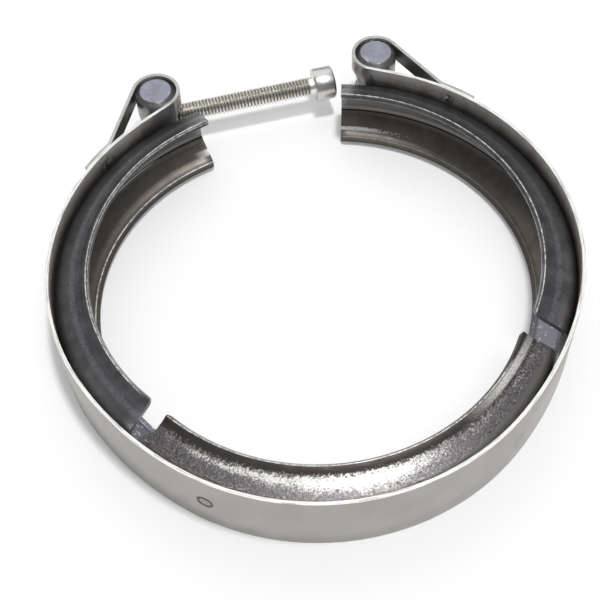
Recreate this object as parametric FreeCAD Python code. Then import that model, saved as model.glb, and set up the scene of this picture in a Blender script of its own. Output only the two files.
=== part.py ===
import FreeCAD, Part
import math
import os
from dataclasses import dataclass

from FreeCAD import Vector

# Exhaust V-band clamp, sprung open and lying flat. All sizes are in millimetres and degrees.
# The origin is the centre of the strap's front arc, half way up the strap. +Z is the ring's axis
# and +Y points at the opening. A plan angle is measured from -Y, towards +X on the right arm
# and towards -X on the left arm, on the clamp as it is before its arms are sprung open.

# Strap
strap_radius = 65.5        # outer face
strap_thickness = 1.0
strap_height = 22.0

# Springing of the two arms: the strap opens over a short zone between two retainers
flex_half_zone = 16.0
left_flex = 7.45
right_flex = 9.23
left_flex_angle = 59.7     # middle of the zone
right_flex_angle = 52.8

# Trunnions
trunnion_radius = 6.0
trunnion_proud = 0.15      # each end stands this far out of the strap
trunnion_chamfer = 1.45
trunnion_clearance = 0.1   # running clearance in the strap's loop

# Strap ends, which run straight off the ring, round the trunnions and back onto the strap
left_ring_end = 157.2      # plan angle where the strap leaves the ring
right_ring_end = 160.1
left_straight = 11.7       # from there to the trunnion's loop
right_straight = 7.2
tail_angle = 18.9          # from the trunnion back to where the tail meets the strap
tail_weld_length = 9.8     # of the tail lies flat on the strap
kink_radius = 3.5
weld_depth = 0.05
window_gap = 0.6           # round the screw's head, in the window that lets it through a loop
window_start = 13.0        # round the loop, from where it leaves the strap
window_end_gap = 5.4       # from the window's end to where the tail bends
window_corner = 2.5

# V retainers
sheet_thickness = 1.4
weld_gap = 0.05            # between a retainer and the strap
retainer_depth = 11.36     # from the strap's outer face to the inner corner of the lip
lip_inset = 0.66           # the lips end this far inside the strap's edges
lip_length = 2.3
lip_slope = 38.0
leg_slope = 23.5
lip_bend_radius = 3.0
web_bend_radius = 3.5
lip_corner = 1.2           # rounding of the lip's corners, seen along the ring's axis
free_end_angle = 173.8
front_start_left = 55.2
front_end_right = 57.6
left_retainer_gap = 4.9    # to the front retainer, in degrees, before the arms are sprung open
right_retainer_gap = 5.5

# Socket head cap screw
screw_radius = 3.0
screw_clearance = 0.05     # in the left trunnion, which carries the screw's thread
plain_hole_clearance = 0.3 # in the right trunnion
tip_past_axis = 2.4        # the screw's tip, past the left trunnion's axis
head_gap = 6.6             # from the head to the right trunnion, on the line between the trunnions
screw_azimuth = 1.25       # of the screw's axis, from +X
right_hole_azimuth = -19.0
head_radius = 5.0
head_height = 6.0
head_chamfer = 0.5
neck_undercut = 0.4        # below the thread's outer diameter
neck_length = 1.5
tip_chamfer = 0.8
socket_across_flats = 5.0
socket_depth = 3.0

# Values that follow from the sizes above
strap_mid_radius = strap_radius - strap_thickness / 2
loop_mid_radius = trunnion_radius + trunnion_clearance + strap_thickness / 2
trunnion_ring_radius = strap_radius + trunnion_clearance + trunnion_radius
tail_mid_radius = strap_radius + strap_thickness / 2 - weld_depth
tail_end_angle = tail_angle + math.degrees(tail_weld_length / tail_mid_radius)
flex_zone_turn = 2 * flex_half_zone
trunnion_length = strap_height + 2 * trunnion_proud
window_height = 2 * (head_radius + window_gap)
mouth_radius = strap_radius - retainer_depth
left_arm_start = front_start_left + left_retainer_gap
right_arm_start = front_end_right + right_retainer_gap
plain_hole_radius = screw_radius + plain_hole_clearance
neck_radius = screw_radius - neck_undercut
UP = Vector(0, 0, 1)
BORE_MARGIN = 1.0          # a cutter runs this far past the faces that it opens
WINDOW_MARGIN = 1.0
SAME_LENGTH = 1e-6        # two lengths closer than this are one


def direction(azimuth):
    """Unit vector in the plan at an azimuth in degrees from +X."""
    return Vector(math.cos(math.radians(azimuth)), math.sin(math.radians(azimuth)), 0)


class Sheet:
    """A sheet seen edge on: tangent straights and bends, with the sheet's two faces beside them."""

    def __init__(self, start, heading, thickness, side=1):
        self.point = start
        self.heading = heading
        self.half = thickness / 2
        self.side = side
        self.first = (start, heading)
        self.faces = {1: [], -1: []}

    def beside(self, point, heading, which):
        """The point on one of the sheet's faces beside a point of its middle line."""
        return point + direction(heading + 90) * self.half * which

    def straight(self, length):
        """Run straight on for a length."""
        end = self.point + direction(self.heading) * length
        for which, edges in self.faces.items():
            start_point = self.beside(self.point, self.heading, which)
            end_point = self.beside(end, self.heading, which)
            edges.append(Part.LineSegment(start_point, end_point).toShape())
        self.point = end
        return self

    def bend(self, radius, turn):
        """Turn along an arc of the middle line. A positive turn goes to the left on side 1."""
        turn = turn * self.side
        hand = math.copysign(1, turn)
        centre = self.point + direction(self.heading + 90) * radius * hand

        def along(share, which):
            heading = self.heading + turn * share
            point = centre - direction(heading + 90) * radius * hand
            return self.beside(point, heading, which)

        for which, edges in self.faces.items():
            edges.append(Part.Arc(along(0, which), along(0.5, which), along(1, which)).toShape())
        self.heading += turn
        self.point = centre - direction(self.heading + 90) * radius * hand
        return self

    def outline(self):
        """The closed face between the sheet's two sides."""
        caps = []
        for point, heading in (self.first, (self.point, self.heading)):
            left = self.beside(point, heading, 1)
            right = self.beside(point, heading, -1)
            caps.append(Part.LineSegment(left, right).toShape())
        edges = self.faces[1] + self.faces[-1] + caps
        return Part.Face(Part.Wire(Part.__sortEdges__(edges)))

    def wall(self, height):
        """The sheet standing up, half of its height each side of the mid-plane."""
        solid = self.outline().extrude(UP * height)
        solid.translate(UP * (-height / 2))
        return solid


@dataclass
class Arm:
    """One arm of the clamp: its side, how far it is sprung open, its retainer and its strap end."""

    side: int
    flex: float
    flex_angle: float
    retainer_start: float
    ring_end: float
    straight_run: float

    def azimuth(self, angle):
        """Azimuth from +X of a plan angle on the front arc."""
        return -90 + self.side * angle

    def sprung_azimuth(self, angle):
        """Azimuth from +X, about the arm's own centre, of a plan angle on the sprung arm."""
        return self.azimuth(angle - self.flex)

    def flex_radius(self):
        """Radius of the strap's middle line in the zone that springs open."""
        return strap_mid_radius * flex_zone_turn / (flex_zone_turn - self.flex)

    def centre(self):
        """Centre of the arm's ring, moved off the origin by the springing."""
        start = self.azimuth(self.flex_angle - flex_half_zone)
        end = self.sprung_azimuth(self.flex_angle + flex_half_zone)
        return (direction(end) - direction(start)) * (self.flex_radius() - strap_mid_radius)

    def trunnion_place(self):
        """Where the trunnion's axis crosses the mid-plane."""
        outward = self.sprung_azimuth(self.ring_end)
        along = direction(outward + 90 * self.side) * self.straight_run
        return self.centre() + direction(outward) * trunnion_ring_radius + along

    def trunnion_distance(self):
        """From the arm's centre to the trunnion's axis."""
        return math.hypot(trunnion_ring_radius, self.straight_run)

    def trunnion_lead(self):
        """Angle about the arm's centre from where the strap leaves the ring to the trunnion."""
        return math.degrees(math.atan2(self.straight_run, trunnion_ring_radius))


left_arm = Arm(-1, left_flex, left_flex_angle, left_arm_start, left_ring_end, left_straight)
right_arm = Arm(1, right_flex, right_flex_angle, right_arm_start, right_ring_end, right_straight)


def arm_route(arm):
    """The strap from the front's middle to where it leaves the arm for the loop."""
    heading = 0 if arm.side == 1 else 180
    route = Sheet(Vector(0, -strap_mid_radius, 0), heading, strap_thickness, arm.side)
    route.bend(strap_mid_radius, arm.flex_angle - flex_half_zone)
    route.bend(arm.flex_radius(), flex_zone_turn - arm.flex)
    route.bend(strap_mid_radius, arm.ring_end - arm.flex_angle - flex_half_zone)
    return route.straight(arm.straight_run)


def tail_line(arm):
    """Turn of the loop, length of the straight tail and turn of its kink, from their tangent."""
    kink_ring_radius = tail_mid_radius + kink_radius
    back = math.radians(tail_angle)
    across = kink_ring_radius * math.sin(back)
    down = arm.trunnion_distance() - kink_ring_radius * math.cos(back)
    distance = math.hypot(across, down)
    radii = kink_radius + loop_mid_radius
    slope = math.degrees(math.atan2(down, across) + math.asin(radii / distance))
    wrap = 180 + slope - arm.trunnion_lead()
    return wrap, math.sqrt(distance ** 2 - radii ** 2), slope - tail_angle


def loop_wall(arm, route):
    """One end of the strap: round the trunnion, straight back, and flat on the strap again."""
    wrap, length, kink_turn = tail_line(arm)
    end = Sheet(route.point, route.heading, strap_thickness, arm.side)
    end.bend(loop_mid_radius, -wrap)
    end.straight(length)
    end.bend(kink_radius, kink_turn)
    end.bend(tail_mid_radius, tail_angle - tail_end_angle)
    return end.wall(strap_height)


def window_cutter(arm, route):
    """The long window in a strap end, from the loop's gap side to the tail, with round corners."""
    wrap, tail_length, _ = tail_line(arm)
    lead = Sheet(route.point, route.heading, strap_thickness, arm.side)
    lead.bend(loop_mid_radius, -window_start)
    opening = Sheet(lead.point, lead.heading, strap_thickness + 2 * WINDOW_MARGIN, arm.side)
    opening.bend(loop_mid_radius, window_start - wrap)
    opening.straight(tail_length - window_end_gap)
    block = opening.wall(window_height)
    width = strap_thickness + 2 * WINDOW_MARGIN
    corners = [edge for edge in block.Edges if abs(edge.Length - width) < SAME_LENGTH]
    return block.makeFillet(window_corner, corners)


def strap():
    """The outer strap with its two wrapped ends and their windows, as one solid."""
    pieces = []
    cutters = []
    for arm in (left_arm, right_arm):
        route = arm_route(arm)
        pieces.append(route.wall(strap_height))
        pieces.append(loop_wall(arm, route))
        cutters.append(window_cutter(arm, route))
    body = pieces[0].fuse(pieces[1:]).removeSplitter()
    return body.cut(cutters)


def retainer_profile():
    """Section of a retainer: lip, leg, web, leg and lip of one folded sheet, in radius and height."""
    half = sheet_thickness / 2
    slope = math.radians(lip_slope)
    rim_height = strap_height / 2 - lip_inset
    start = Vector(mouth_radius + half * math.sin(slope), rim_height - half * math.cos(slope), 0)
    web_radius = strap_radius - strap_thickness - weld_gap - half
    crease_radius = start.x + lip_length * math.cos(slope)
    crease_height = start.y - lip_length * math.sin(slope)
    leg = (web_radius - crease_radius) / math.cos(math.radians(leg_slope))
    web_half = crease_height - leg * math.sin(math.radians(leg_slope))
    lip_turn = lip_slope - leg_slope
    web_turn = 90 - leg_slope
    lip_run = lip_bend_radius * math.tan(math.radians(lip_turn / 2))
    web_run = web_bend_radius * math.tan(math.radians(web_turn / 2))
    section = Sheet(start, -lip_slope, sheet_thickness)
    section.straight(lip_length - lip_run)
    section.bend(lip_bend_radius, lip_turn)
    section.straight(leg - lip_run - web_run)
    section.bend(web_bend_radius, -web_turn)
    section.straight(2 * (web_half - web_run))
    section.bend(web_bend_radius, -web_turn)
    section.straight(leg - lip_run - web_run)
    section.bend(lip_bend_radius, lip_turn)
    section.straight(lip_length - lip_run)
    return section.outline()


def ring_sector(centre, first, span, inner, outer, height, corner):
    """A block between two radii and two azimuths, with its two inner corners rounded."""
    ends = (direction(first), direction(first + span))
    middle = direction(first + span / 2)
    edges = []
    for radius in (inner, outer):
        places = [centre + way * radius for way in (ends[0], middle, ends[1])]
        edges.append(Part.Arc(*places).toShape())
    for way in ends:
        edges.append(Part.LineSegment(centre + way * inner, centre + way * outer).toShape())
    block = Part.Face(Part.Wire(Part.__sortEdges__(edges))).extrude(UP * height)
    block.translate(UP * (-height / 2))
    upright = []
    for edge in block.Edges:
        place = edge.CenterOfMass - centre
        on_inner = math.hypot(place.x, place.y) < inner + corner
        if abs(edge.Length - height) < SAME_LENGTH and on_inner:
            upright.append(edge)
    return block.makeFillet(corner, upright)


def retainer(centre, first, span):
    """A retainer segment turned about its ring's centre from one azimuth through a span."""
    profile = retainer_profile()
    profile.rotate(Vector(0, 0, 0), Vector(1, 0, 0), 90)
    profile.rotate(Vector(0, 0, 0), UP, first)
    profile.translate(centre)
    ring = profile.revolve(centre, UP, span)
    sector = ring_sector(centre, first, span, mouth_radius, strap_radius, strap_height, lip_corner)
    return ring.common(sector)


def arm_retainer(arm):
    """The retainer of one arm, from beside the front retainer to the free end."""
    first = arm.sprung_azimuth(arm.retainer_start)
    last = arm.sprung_azimuth(free_end_angle)
    return retainer(arm.centre(), min(first, last), abs(last - first))


def front_retainer():
    """The retainer of the front arc."""
    first = left_arm.azimuth(front_start_left)
    return retainer(Vector(0, 0, 0), first, front_start_left + front_end_right)


def trunnion(place, azimuth, hole_radius):
    """A trunnion with its cross hole at an azimuth."""
    pin = Part.makeCylinder(trunnion_radius, trunnion_length, UP * (-trunnion_length / 2))
    rims = [edge for edge in pin.Edges if edge.Curve.TypeId == "Part::GeomCircle"]
    pin = pin.makeChamfer(trunnion_chamfer, rims)
    reach = trunnion_radius + BORE_MARGIN
    hole = Part.makeCylinder(hole_radius, 2 * reach, Vector(-reach, 0, 0), Vector(1, 0, 0))
    pin = pin.cut(hole)
    pin.rotate(Vector(0, 0, 0), UP, azimuth)
    pin.translate(place)
    return pin


def cap_screw():
    """The socket head cap screw, with a plain shank of its thread's outer diameter."""
    between = (right_arm.trunnion_place() - left_arm.trunnion_place()).Length
    screw_reach = between - trunnion_radius - head_gap - head_height
    screw_length = screw_reach + tip_past_axis
    shank_length = screw_length - neck_length
    shank = Part.makeCylinder(screw_radius, shank_length, Vector(-screw_length, 0, 0), Vector(1, 0, 0))
    tip = [edge for edge in shank.Edges if abs(edge.CenterOfMass.x + screw_length) < SAME_LENGTH]
    shank = shank.makeChamfer(tip_chamfer, tip)
    neck = Part.makeCylinder(neck_radius, neck_length, Vector(-neck_length, 0, 0), Vector(1, 0, 0))
    head = Part.makeCylinder(head_radius, head_height, Vector(0, 0, 0), Vector(1, 0, 0))
    rims = [edge for edge in head.Edges if edge.Curve.TypeId == "Part::GeomCircle"]
    head = head.makeChamfer(head_chamfer, rims)
    corner = socket_across_flats / 2 / math.cos(math.radians(30))
    corners = [direction(60 * step) * corner for step in range(7)]
    hexagon = Part.Face(Part.makePolygon(corners)).extrude(UP * (socket_depth + BORE_MARGIN))
    hexagon.rotate(Vector(0, 0, 0), Vector(0, 1, 0), 90)
    hexagon.translate(Vector(head_height - socket_depth, 0, 0))
    screw = shank.fuse([neck, head]).removeSplitter().cut(hexagon)
    screw.rotate(Vector(0, 0, 0), UP, screw_azimuth)
    screw.translate(left_arm.trunnion_place() + direction(screw_azimuth) * screw_reach)
    return screw


nodes = {
    "outer_strap": strap(),
    "front_retainer": front_retainer(),
    "left_retainer": arm_retainer(left_arm),
    "right_retainer": arm_retainer(right_arm),
    "left_trunnion": trunnion(
        left_arm.trunnion_place(), screw_azimuth, screw_radius + screw_clearance
    ),
    "right_trunnion": trunnion(
        right_arm.trunnion_place(), right_hole_azimuth, plain_hole_radius
    ),
    "cap_screw": cap_screw(),
}

os.makedirs("parts", exist_ok=True)
for name, shape in nodes.items():
    solid = shape.Solids[0] if len(shape.Solids) == 1 else shape
    solid.exportStep(os.path.join("parts", name + ".step"))
    box = solid.BoundBox
    print(name, "valid", solid.isValid(), "solids", len(shape.Solids), "volume", round(solid.Volume, 1),
          "z", round(box.ZMin, 2), round(box.ZMax, 2))
for label, arm in (("left", left_arm), ("right", right_arm)):
    print(label, "trunnion at", arm.trunnion_place(), "centre", arm.centre())
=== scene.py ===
"""Dress an exhaust V-band clamp: its banded strap, V retainers, trunnions and threaded screw."""

import logging
import math
from dataclasses import dataclass, replace
from enum import Enum

import bmesh
import bpy
from mathutils import Matrix, Vector


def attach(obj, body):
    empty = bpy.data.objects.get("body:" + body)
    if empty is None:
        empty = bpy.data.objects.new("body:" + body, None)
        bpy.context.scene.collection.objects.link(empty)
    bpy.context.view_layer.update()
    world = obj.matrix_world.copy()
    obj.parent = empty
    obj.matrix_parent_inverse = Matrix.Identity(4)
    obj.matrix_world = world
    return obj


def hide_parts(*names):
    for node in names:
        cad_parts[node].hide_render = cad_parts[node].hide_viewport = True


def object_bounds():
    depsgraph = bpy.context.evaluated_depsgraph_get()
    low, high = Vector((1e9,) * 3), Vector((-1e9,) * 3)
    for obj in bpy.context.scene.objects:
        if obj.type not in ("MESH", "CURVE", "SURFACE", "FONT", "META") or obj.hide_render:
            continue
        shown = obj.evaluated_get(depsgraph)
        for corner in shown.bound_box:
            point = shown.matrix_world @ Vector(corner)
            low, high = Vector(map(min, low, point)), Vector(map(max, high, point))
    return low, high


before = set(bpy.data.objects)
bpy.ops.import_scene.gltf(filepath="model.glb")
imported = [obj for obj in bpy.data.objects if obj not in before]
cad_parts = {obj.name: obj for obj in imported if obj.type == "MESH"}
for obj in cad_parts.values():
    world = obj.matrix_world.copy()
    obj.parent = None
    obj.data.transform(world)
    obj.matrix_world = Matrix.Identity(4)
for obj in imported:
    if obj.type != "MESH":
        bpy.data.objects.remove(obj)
CAD_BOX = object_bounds()

MM = 0.001
STRIP_THICKNESS = 1.0
WHITE = (1.0, 1.0, 1.0)
FLOOR_LEVEL = CAD_BOX[0][2]

log = logging.getLogger("clamp")

Point = tuple[float, float, float]
Colour = tuple[float, float, float]
Socket = bpy.types.NodeSocket
Feed = Socket | float


def rgba(colour: Colour) -> tuple[float, float, float, float]:
    """The colour with full alpha."""
    return (*colour, 1.0)


class Sum(Enum):
    """What a maths node works out."""

    PLUS = "ADD"
    MINUS = "SUBTRACT"
    TIMES = "MULTIPLY"
    OVER = "DIVIDE"
    TIMES_PLUS = "MULTIPLY_ADD"
    SIZE = "ABSOLUTE"
    ROOT = "SQRT"
    ANGLE = "ARCTAN2"
    BEYOND = "GREATER_THAN"
    FRACTION = "FRACT"
    LEAST = "MINIMUM"
    MOST = "MAXIMUM"
    COSINE = "COSINE"
    SINE = "SINE"


class PlaceSum(Enum):
    """What a vector node works out from a place."""

    SCALE = "SCALE"
    STRETCH = "MULTIPLY"
    DISTANCE = "DISTANCE"


@dataclass(frozen=True)
class Grain:
    """A noise pattern: size of its largest grains in metres, octaves and weight of the smaller ones."""

    size: float
    detail: float = 3.0
    roughness: float = 0.55


@dataclass(frozen=True)
class Span:
    """A fade: where it starts and ends, and its values at the start and at the end."""

    start: float
    end: float
    low: float = 0.0
    high: float = 1.0


@dataclass(frozen=True)
class Coat:
    """A plain surface: base colour, roughness and metallic share."""

    colour: Colour
    rough: float
    metal: float = 1.0


class Tree:
    """A node tree under construction, with sums of sockets and numbers."""

    def __init__(self, tree: bpy.types.NodeTree) -> None:
        """Hold the tree's nodes and links."""
        self.nodes = tree.nodes
        self.links = tree.links

    def feed(self, value: Feed | Colour, socket: Socket) -> None:
        """Link or set one input.

        Args:
            value: A socket, a colour or a number.
            socket: The input.
        """
        if isinstance(value, Socket):
            self.links.new(value, socket)
        elif isinstance(value, tuple):
            socket.default_value = rgba(value)
        else:
            socket.default_value = value

    def sum(self, operation: Sum, *values: Feed) -> Socket:
        """A number worked out from others.

        Args:
            operation: What is worked out.
            values: Sockets or numbers.

        Returns:
            The number.
        """
        node = self.nodes.new("ShaderNodeMath")
        node.operation = operation.value
        for value, socket in zip(values, node.inputs):
            self.feed(value, socket)
        return node.outputs["Value"]

    def plus(self, first: Feed, second: Feed) -> Socket:
        """Two numbers added."""
        return self.sum(Sum.PLUS, first, second)

    def minus(self, first: Feed, second: Feed) -> Socket:
        """The first number less the second."""
        return self.sum(Sum.MINUS, first, second)

    def times(self, first: Feed, *others: Feed) -> Feed:
        """Numbers multiplied in turn.

        Args:
            first: The first number.
            others: The numbers that it is multiplied by.

        Returns:
            The product.
        """
        for other in others:
            first = self.sum(Sum.TIMES, first, other)
        return first

    def size(self, value: Feed) -> Socket:
        """A number without its sign."""
        return self.sum(Sum.SIZE, value)

    def reach(self, first: Feed, second: Feed) -> Socket:
        """Length across two sides at a right angle."""
        return self.sum(Sum.ROOT, self.plus(self.times(first, first), self.times(second, second)))

    def parts(self, place: Socket) -> tuple[Socket, ...]:
        """X, Y and Z of a place.

        Args:
            place: The place.

        Returns:
            The three numbers.
        """
        node = self.nodes.new("ShaderNodeSeparateXYZ")
        self.links.new(place, node.inputs["Vector"])
        return tuple(node.outputs)

    def join(self, *values: Socket) -> Socket:
        """A place from its X, Y and Z.

        Args:
            values: The three numbers.

        Returns:
            The place.
        """
        node = self.nodes.new("ShaderNodeCombineXYZ")
        for value, socket in zip(values, node.inputs):
            self.links.new(value, socket)
        return node.outputs["Vector"]


class FinishTree(Tree):
    """A node material under construction: one Principled shader and the surface that is fed to it."""

    def __init__(self, name: str) -> None:
        """Start a plain material.

        Args:
            name: Name of the finish.
        """
        self.material = bpy.data.materials.new(name)
        self.material.use_nodes = True
        super().__init__(self.material.node_tree)
        self.shader = self.nodes["Principled BSDF"]
        self.place = self.nodes.new("ShaderNodeTexCoord").outputs["Object"]
        self.colour: Socket | Colour = WHITE
        self.rough: Feed = 0.5
        self.metal: Feed = 1.0

    def shade(self, **values: Feed | Colour) -> None:
        """Feed the shader's own sockets, named with underscores for spaces."""
        for name, value in values.items():
            self.feed(value, self.shader.inputs[name.replace("_", " ")])

    def stretched(self, scale: Point, turn: float) -> Socket:
        """Object coordinates, stretched and turned about Z.

        Args:
            scale: Scale along each axis.
            turn: Turn about Z in radians.

        Returns:
            The mapped coordinates.
        """
        mapping = self.nodes.new("ShaderNodeMapping")
        mapping.inputs["Scale"].default_value = scale
        mapping.inputs["Rotation"].default_value = (0.0, 0.0, turn)
        self.links.new(self.place, mapping.inputs["Vector"])
        return mapping.outputs["Vector"]

    def noise(self, grain: Grain, place: Socket | None = None) -> Socket:
        """Noise whose largest grains have a real size.

        Args:
            grain: The pattern.
            place: Coordinates, the object's own if none are given.

        Returns:
            The noise value.
        """
        texture = self.nodes.new("ShaderNodeTexNoise")
        texture.inputs["Scale"].default_value = 1.0 / grain.size
        texture.inputs["Detail"].default_value = grain.detail
        texture.inputs["Roughness"].default_value = grain.roughness
        self.links.new(place or self.place, texture.inputs["Vector"])
        return texture.outputs["Fac"]

    def ramp(self, source: Socket, stops: list[tuple[float, Colour]]) -> Socket:
        """Colours along a value.

        Args:
            source: The value.
            stops: Two positions and their colours.

        Returns:
            The colour.
        """
        node = self.nodes.new("ShaderNodeValToRGB")
        for element, (position, colour) in zip(node.color_ramp.elements, stops, strict=True):
            element.position = position
            element.color = rgba(colour)
        self.links.new(source, node.inputs["Fac"])
        return node.outputs["Color"]

    def fade(self, source: Socket, span: Span) -> Socket:
        """A value moved from a span's ends to its low and high values and kept between them.

        Args:
            source: The value.
            span: The fade.

        Returns:
            The new value.
        """
        node = self.nodes.new("ShaderNodeMapRange")
        node.inputs["From Min"].default_value = span.start
        node.inputs["From Max"].default_value = span.end
        node.inputs["To Min"].default_value = span.low
        node.inputs["To Max"].default_value = span.high
        self.links.new(source, node.inputs["Value"])
        return node.outputs["Result"]

    def speckle(self, grain: Grain, span: Span, place: Socket | None = None) -> Socket:
        """Noise over a place, faded over a span."""
        return self.fade(self.noise(grain, place), span)

    def blend(self, share: Socket, first: Socket | Colour, second: Socket | Colour) -> Socket:
        """Two colours mixed by a share.

        Args:
            share: Share of the second colour.
            first: First colour.
            second: Second colour.

        Returns:
            The mixed colour.
        """
        node = self.nodes.new("ShaderNodeMix")
        node.data_type = "RGBA"
        self.links.new(share, node.inputs[0])
        colours = [socket for socket in node.inputs if socket.type == "RGBA"]
        for socket, value in zip(colours, (first, second)):
            self.feed(value, socket)
        return next(socket for socket in node.outputs if socket.type == "RGBA")

    def choose(self, share: Socket, first: Feed, second: Feed) -> Socket:
        """The first number where the share is 0 and the second where it is 1."""
        return self.sum(Sum.TIMES_PLUS, share, self.minus(second, first), first)

    def lay(self, coat: Coat, *masks: Feed) -> None:
        """Lay a coat over the surface where all the masks are 1.

        Args:
            coat: The coat.
            masks: Where it lies, and how strongly.
        """
        mask = self.times(*masks)
        self.colour = self.blend(mask, self.colour, coat.colour)
        self.rough = self.choose(mask, self.rough, coat.rough)
        self.metal = self.choose(mask, self.metal, coat.metal)

    def vector(self, operation: PlaceSum, place: Socket, other: Point | float) -> Socket:
        """A place scaled or stretched, or its distance from a point.

        Args:
            operation: What is worked out.
            place: The place.
            other: A number for SCALE, otherwise three numbers.

        Returns:
            The new place or the distance.
        """
        node = self.nodes.new("ShaderNodeVectorMath")
        node.operation = operation.value
        self.links.new(place, node.inputs[0])
        taken = node.inputs["Scale"] if operation is PlaceSum.SCALE else node.inputs[1]
        taken.default_value = other
        return node.outputs["Value" if operation is PlaceSum.DISTANCE else "Vector"]

    def bump(self, height: Socket, depth: float) -> Socket:
        """A bump of a real depth.

        Args:
            height: Height pattern.
            depth: Depth in metres.

        Returns:
            The bumped normal.
        """
        node = self.nodes.new("ShaderNodeBump")
        node.inputs["Strength"].default_value = 1.0
        node.inputs["Distance"].default_value = depth
        self.links.new(height, node.inputs["Height"])
        return node.outputs["Normal"]


@dataclass(frozen=True)
class Arc:
    """An arc of the strap's middle line, seen in the plan, in millimetres."""

    x: float
    y: float
    radius: float


@dataclass(frozen=True)
class ArmPlan:
    """How one arm of the strap runs, in millimetres and degrees.

    Attributes:
        side: 1 for the right arm, -1 for the left.
        flex: How far the arm is sprung open.
        flex_angle: Middle of the zone that springs open.
        ring: Radius of the strap's middle line.
        half_zone: Half of the zone that springs open.
    """

    side: int
    flex: float
    flex_angle: float
    ring: float = 65.0
    half_zone: float = 16.0

    def way(self, angle: float) -> Vector:
        """Direction of a plan angle on the front arc."""
        turn = math.radians(-90 + self.side * angle)
        return Vector((math.cos(turn), math.sin(turn), 0.0))

    def last_way(self) -> Vector:
        """Direction from the zone's own centre to the zone's end."""
        return self.way(self.flex_angle + self.half_zone - self.flex)

    def zone_start(self) -> float:
        """Plan angle where the zone that springs open starts."""
        return self.flex_angle - self.half_zone

    def zone(self) -> Arc:
        """The arc of the zone that springs open.

        Returns:
            The arc.
        """
        radius = self.ring * 2 * self.half_zone / (2 * self.half_zone - self.flex)
        centre = self.way(self.zone_start()) * (self.ring - radius)
        return Arc(centre.x, centre.y, radius)

    def zone_end(self) -> float:
        """Plan angle about the origin where the arm's own arc starts.

        Returns:
            The angle in degrees.
        """
        zone = self.zone()
        point = Vector((zone.x, zone.y, 0.0)) + self.last_way() * zone.radius
        return math.degrees(math.atan2(abs(point.x), -point.y))

    def arm(self) -> Arc:
        """The arm's own arc.

        Returns:
            The arc.
        """
        zone = self.zone()
        shift = self.last_way() * (zone.radius - self.ring)
        return Arc(zone.x + shift.x, zone.y + shift.y, self.ring)


LEFT_PLAN = ArmPlan(side=-1, flex=7.45, flex_angle=59.7)
RIGHT_PLAN = ArmPlan(side=1, flex=9.23, flex_angle=52.8)


@dataclass(frozen=True)
class Stripe:
    """A line along the ring: distance outward from the strap's middle line, height and width in
    millimetres, how strongly it is laid, and 1 for the right side alone, -1 for the left, 0 for both.
    """

    offset: float
    height: float
    width: float
    share: float = 1.0
    side: int = 0


@dataclass(frozen=True)
class Mark:
    """A round mark on the band: its middle, its radius and the width of a spot's soft rim or of a
    ring's line, in millimetres, and how strongly it is laid.
    """

    x: float
    y: float
    z: float
    radius: float
    width: float
    share: float = 1.0


class BandPlace:
    """Where a point lies on the band: across the sheet, along the ring and in height, in millimetres."""

    LINE_FADE = (0.35, 0.65)
    RING_FADE = (0.25, 0.75)

    def __init__(self, tree: FinishTree) -> None:
        """Work the place out from the object's own coordinates.

        Args:
            tree: The material under construction.
        """
        self.tree = tree
        self.point = tree.vector(PlaceSum.SCALE, tree.place, 1.0 / MM)
        x, y, self.height = tree.parts(self.point)
        self.level = tree.size(self.height)
        self.turn = tree.sum(Sum.ANGLE, x, tree.times(y, -1.0))
        self.flat = tree.vector(PlaceSum.STRETCH, self.point, (1.0, 1.0, 0.0))
        self.offset = self.from_arc(Arc(0.0, 0.0, LEFT_PLAN.ring))
        for plan in (LEFT_PLAN, RIGHT_PLAN):
            turned = tree.times(self.turn, float(plan.side))
            for angle, arc in ((plan.zone_start(), plan.zone()), (plan.zone_end(), plan.arm())):
                past = tree.sum(Sum.BEYOND, turned, math.radians(angle))
                self.offset = tree.choose(past, self.offset, self.from_arc(arc))
        self.sheet = tree.join(self.offset, tree.times(self.turn, LEFT_PLAN.ring), self.height)

    def from_arc(self, arc: Arc) -> Socket:
        """Distance outward from an arc of the strap's middle line."""
        reach = self.tree.vector(PlaceSum.DISTANCE, self.flat, (arc.x, arc.y, 0.0))
        return self.tree.minus(reach, arc.radius)

    def from_mark(self, mark: Mark) -> Socket:
        """Distance from a mark's middle."""
        return self.tree.vector(PlaceSum.DISTANCE, self.point, (mark.x, mark.y, mark.z))

    def line(self, stripe: Stripe) -> Socket:
        """A line along the ring, at a place in the band's section.

        Args:
            stripe: The line.

        Returns:
            1 on the line and 0 away from it.
        """
        across = self.tree.minus(self.offset, stripe.offset)
        above = self.tree.minus(self.height, stripe.height)
        core, rim = (share * stripe.width for share in self.LINE_FADE)
        return self.tree.fade(self.tree.reach(across, above), Span(core, rim, 1.0, 0.0))

    def ring(self, mark: Mark) -> Socket:
        """A ring about a point.

        Args:
            mark: The ring.

        Returns:
            1 on the ring and 0 away from it.
        """
        away = self.tree.size(self.tree.minus(self.from_mark(mark), mark.radius))
        core, rim = (share * mark.width for share in self.RING_FADE)
        return self.tree.fade(away, Span(core, rim, 1.0, 0.0))

    def spot(self, mark: Mark) -> Socket:
        """A round spot about a point: 1 in the spot and 0 away from it."""
        return self.tree.fade(self.from_mark(mark), Span(mark.radius - mark.width, mark.radius, 1.0, 0.0))


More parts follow.
